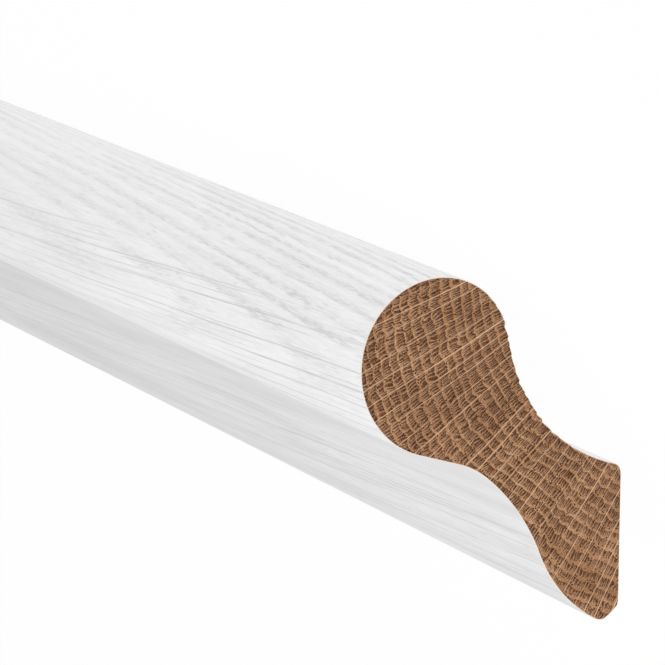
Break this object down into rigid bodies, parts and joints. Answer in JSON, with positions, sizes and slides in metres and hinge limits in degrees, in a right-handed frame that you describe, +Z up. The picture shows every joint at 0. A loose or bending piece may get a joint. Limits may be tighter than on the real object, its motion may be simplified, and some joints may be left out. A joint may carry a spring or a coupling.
{
  "type": "pigs ear handrail",
  "caption": "Straight length of moulded oak handrail: round bead standing off a flat wall face over a finger cove, hollow front, painted long faces and bare sawn ends.",
  "frame": {"origin": "centre of the bounding box at floor level, midway along the rail", "axes": "+Y runs along the rail, +Z is up from the floor it lies on, and +X points to the side of the bead"},
  "size_m": [0.0817, 2.4, 0.0319],
  "materials": {
    "painted_oak": "satin white paint over open-grained oak, with bare sawn ends"
  },
  "bodies": {
    "root": {"handrail": "painted_oak"}
  },
  "joints": []
}
